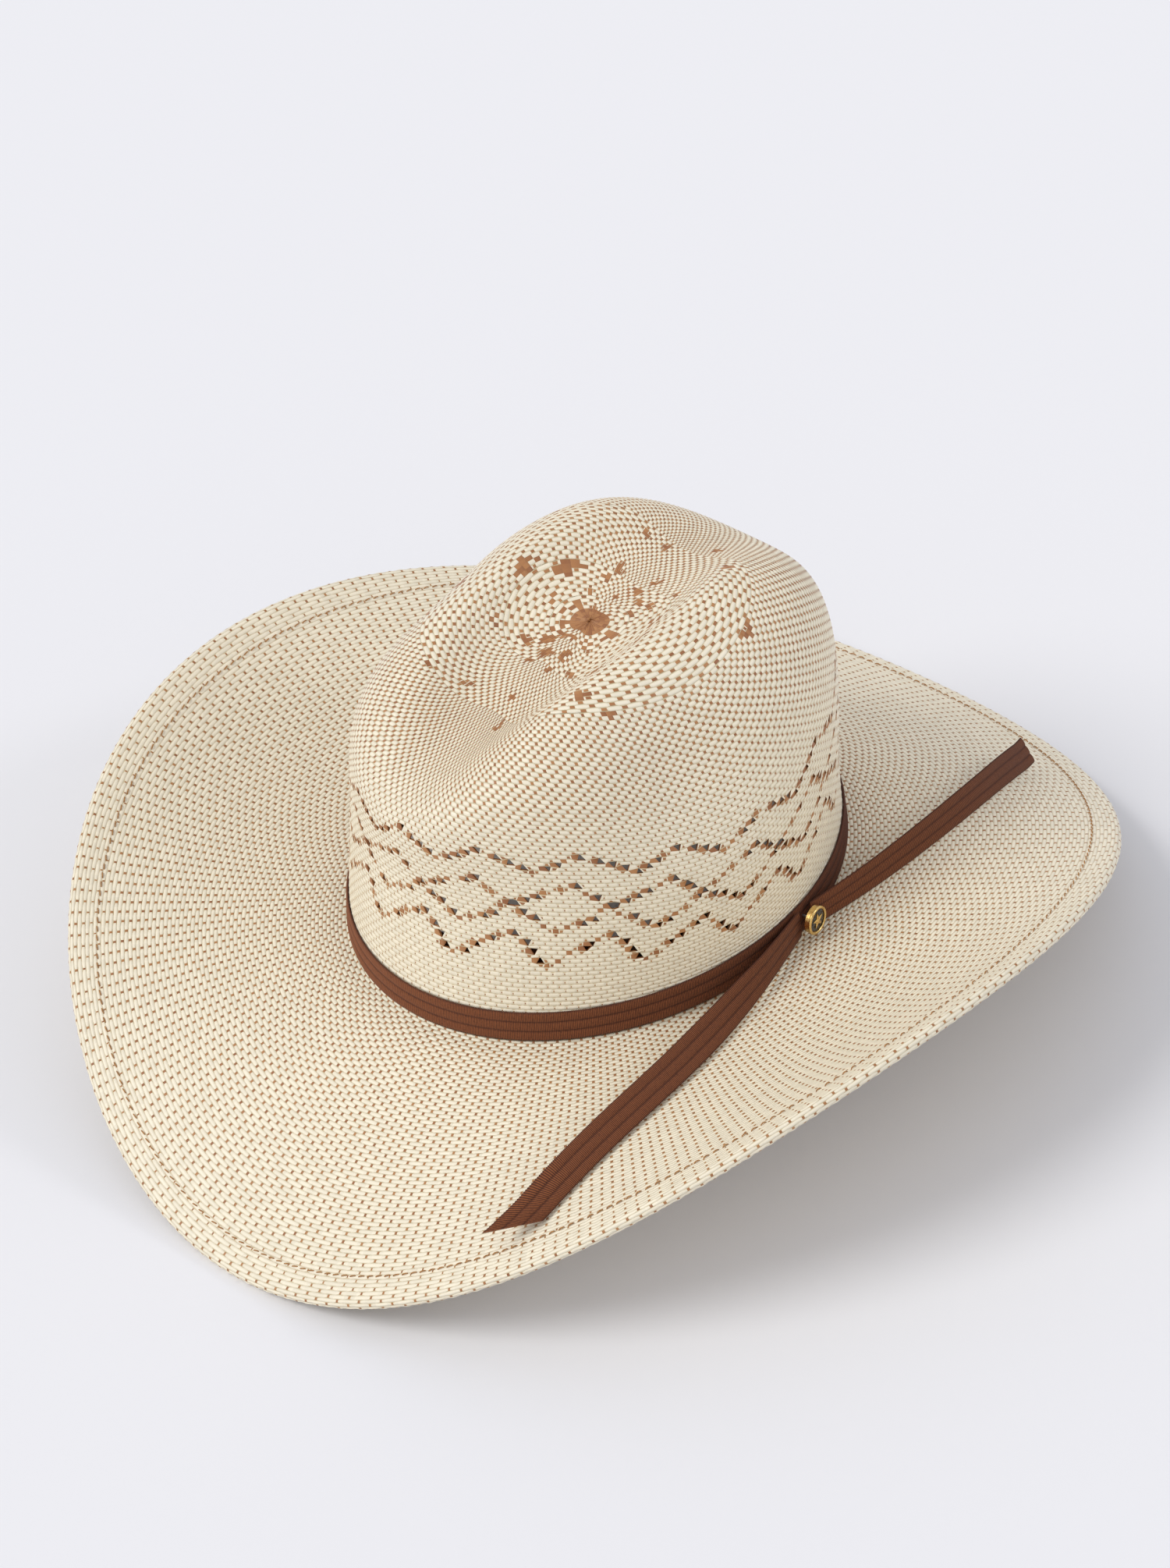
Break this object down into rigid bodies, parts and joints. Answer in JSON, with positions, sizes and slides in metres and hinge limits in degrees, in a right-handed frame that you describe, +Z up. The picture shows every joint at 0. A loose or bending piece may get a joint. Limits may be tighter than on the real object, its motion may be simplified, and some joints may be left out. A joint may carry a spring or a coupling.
{
  "type": "cowboy hat",
  "caption": "Woven straw cowboy hat with a creased crown, openwork vents, curled wired brim, ribbon band with loose ends, round pin and leather sweatband.",
  "frame": {"origin": "centre of the hat's outline on the surface that it stands on", "axes": "+X to the wearer's left, +Y to the back of the hat, +Z up"},
  "size_m": [0.3842, 0.4143, 0.1754],
  "materials": {
    "straw": "woven straw, light gloss",
    "ribbon": "ribbed grosgrain",
    "gold": "polished plate",
    "enamel": "glossy enamel",
    "steel": "drawn wire",
    "leather": "soft roan leather",
    "plastic": "extruded",
    "cloth": "cotton tape",
    "thread": "spun thread",
    "foam": "open-cell foam",
    "paper": "blank paper"
  },
  "bodies": {
    "hat": {"straw_body": "straw", "brim_wire": "steel", "brim_wire_joiner": "plastic", "hem_stitching": "thread", "hatband_ribbon": "ribbon", "pin_clutch": "gold", "sweatband": "leather", "sweatband_reed": "plastic", "reed_tape": "cloth", "sweatband_stitching": "thread", "sweatband_bow": "ribbon", "back_seam_patch": "cloth", "front_padding": "foam", "size_tag": "paper"},
    "front_tail": {"ribbon_tail_front": "ribbon"},
    "back_tail": {"ribbon_tail_back": "ribbon"},
    "pin": {"pin_bezel": "gold", "pin_enamel_face": "enamel", "pin_star": "gold", "pin_post": "steel"}
  },
  "joints": [
    {"name": "front_tail_lift", "type": "hinge", "parent": "hat", "child": "front_tail", "pos_m": [0.08853, 0.02207, 0.0586], "axis": [-0.9856, -0.169, 0], "range_deg": [0, 45]},
    {"name": "back_tail_lift", "type": "hinge", "parent": "hat", "child": "back_tail", "pos_m": [0.08853, 0.02207, 0.0586], "axis": [0.9856, 0.169, 0], "range_deg": [0, 45]},
    {"name": "pin_turn", "type": "hinge", "parent": "hat", "child": "pin", "pos_m": [0.08853, 0.02207, 0.0586], "axis": [0.9856, 0.169, 0], "continuous": true}
  ]
}
